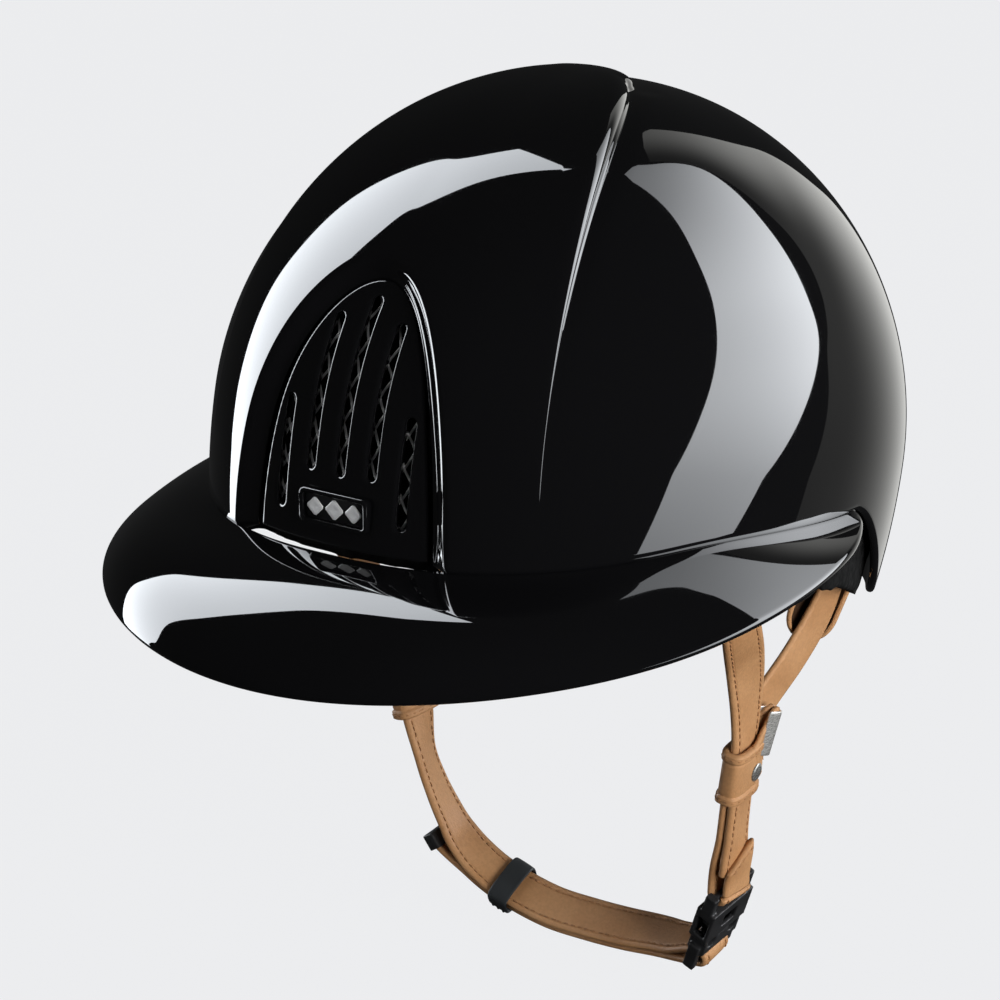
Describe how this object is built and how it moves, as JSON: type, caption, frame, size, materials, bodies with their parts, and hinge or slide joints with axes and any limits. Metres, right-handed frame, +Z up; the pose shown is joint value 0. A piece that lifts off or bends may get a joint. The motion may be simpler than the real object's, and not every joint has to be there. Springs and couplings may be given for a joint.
{
  "type": "equestrian riding helmet",
  "caption": "Riding helmet with a glossy one-piece shell, wide down-curved brim, slotted front vent and a leather harness closed by a side-release buckle.",
  "frame": {"origin": "centre of the head cavity, which is also the centre of the shell's rounded form", "axes": "+X towards the wearer's left ear, -Y the way the wearer faces, +Z up to the crown"},
  "size_m": [0.2406, 0.2935, 0.3129],
  "materials": {
    "lacquer": "high gloss lacquer",
    "mesh_metal": "bright woven wire",
    "badge_metal": "satin",
    "foam": "matte expanded foam",
    "padding": "black knitted lining",
    "leather": "satin",
    "buckle_plastic": "semi-gloss moulded plastic",
    "rubber": "matte rubber",
    "fitting_metal": "satin metal"
  },
  "bodies": {
    "helmet": {"outer_shell": "lacquer", "brim": "lacquer", "front_grille": "lacquer", "vent_mesh": "mesh_metal", "badge_frame": "lacquer", "badge_plate": "badge_metal", "foam_crown": "foam", "foam_front": "foam", "foam_rear": "foam", "crown_pad": "padding", "brow_pad": "padding", "nape_pad": "padding", "dome_pad_front": "padding", "dome_pad_rear": "padding", "nape_band": "leather", "foam_temple_left": "foam", "foam_ear_left": "foam", "dome_pad_left": "padding", "temple_pad_left": "padding", "side_pad_left": "padding", "front_strap_left": "leather", "strap_loop_left": "leather", "loop_rivet_left": "fitting_metal", "front_anchor_left": "fitting_metal", "rear_strap_left": "leather", "rear_anchor_left": "fitting_metal", "rear_tab_left": "leather", "divider_tab_left": "leather", "divider_clamp_left": "fitting_metal", "foam_temple_right": "foam", "foam_ear_right": "foam", "dome_pad_right": "padding", "temple_pad_right": "padding", "side_pad_right": "padding", "front_strap_right": "leather", "strap_loop_right": "leather", "loop_rivet_right": "fitting_metal", "front_anchor_right": "fitting_metal", "rear_strap_right": "leather", "rear_anchor_right": "fitting_metal", "rear_tab_right": "leather", "divider_tab_right": "leather", "divider_clamp_right": "fitting_metal"},
    "chin_harness": {"chin_strap": "leather", "chin_strap_return": "leather", "tail_clamp": "buckle_plastic", "socket_strap": "leather", "buckle_socket": "buckle_plastic"},
    "plug": {"buckle_plug": "buckle_plastic", "plug_strap": "leather"},
    "arm_rear": {"buckle_arm_rear": "buckle_plastic"},
    "arm_front": {"buckle_arm_front": "buckle_plastic"},
    "keeper_ring": {"keeper": "rubber"}
  },
  "joints": [
    {"name": "chin_swing", "type": "hinge", "parent": "helmet", "child": "chin_harness", "pos_m": [0, -0.0018, -0.13], "axis": [1, 0, 0], "range_deg": [-25, 25]},
    {"name": "plug_travel", "type": "slide", "parent": "chin_harness", "child": "plug", "axis": [-0.4323, 0.2692, -0.8606], "range_m": [0, 0.014]},
    {"name": "arm_rear_flex", "type": "hinge", "parent": "plug", "child": "arm_rear", "pos_m": [0.05362, 0.01158, -0.17189], "axis": [-0.8961, -0.0221, 0.4432], "range_deg": [-13, 0.5]},
    {"name": "arm_front_flex", "type": "hinge", "parent": "plug", "child": "arm_front", "pos_m": [0.05249, 0.0008, -0.1747], "axis": [-0.8961, -0.0221, 0.4432], "range_deg": [-0.5, 13]},
    {"name": "keeper_slide", "type": "slide", "parent": "chin_harness", "child": "keeper_ring", "axis": [0.9394, 0.0477, -0.3395], "range_m": [-0.004, 0.004]}
  ],
  "couplings": [
    {"joint": "arm_rear_flex", "follows": "plug_travel", "rad_per_m": -14},
    {"joint": "arm_front_flex", "follows": "plug_travel", "rad_per_m": 14}
  ]
}
